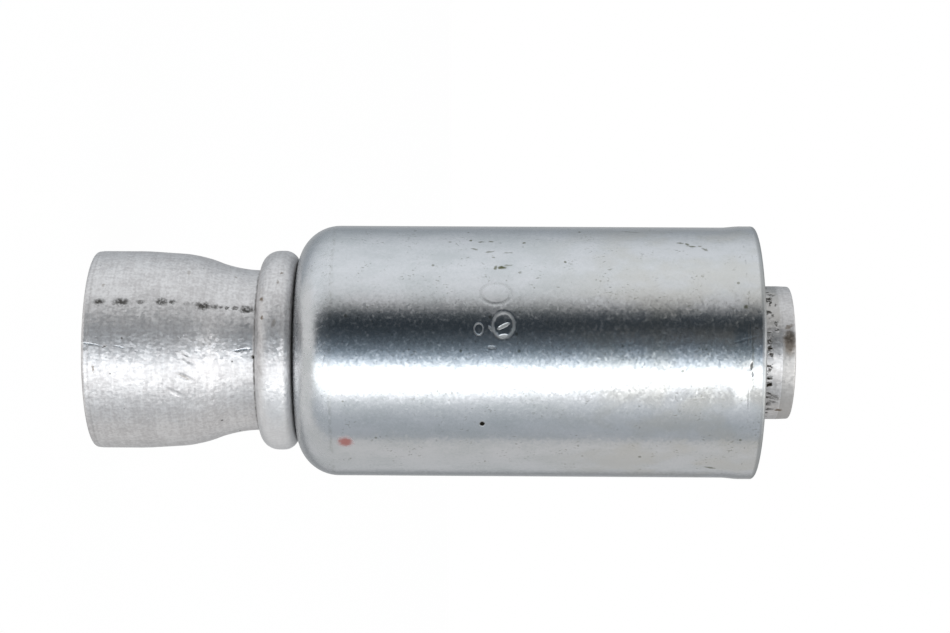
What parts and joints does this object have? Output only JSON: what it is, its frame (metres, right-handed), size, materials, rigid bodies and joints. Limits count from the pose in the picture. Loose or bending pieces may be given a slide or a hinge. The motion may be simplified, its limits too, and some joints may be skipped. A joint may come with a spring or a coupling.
{
  "type": "weld-on beadlock hose fitting",
  "caption": "Straight hose end: a formed aluminium tube with a weld socket and a barbed hose insert, and a zinc-plated steel crimp shell locked on it between upset beads.",
  "frame": {"origin": "centre of the weld socket's end face, which the fitting stands on", "axes": "+Z along the axis, from the weld socket to the nose of the hose insert; X and Y are free, with -X at the top of the picture"},
  "size_m": [0.02, 0.02, 0.0549],
  "materials": {
    "stem_aluminium": "drawn and cold-formed tube, satin, with drawing lines and handling marks",
    "shell_zinc": "drawn steel, bright zinc plated, with punched marks, small specks and a paint dot"
  },
  "bodies": {
    "root": {"tube_stem": "stem_aluminium", "crimp_shell": "shell_zinc"}
  },
  "joints": []
}
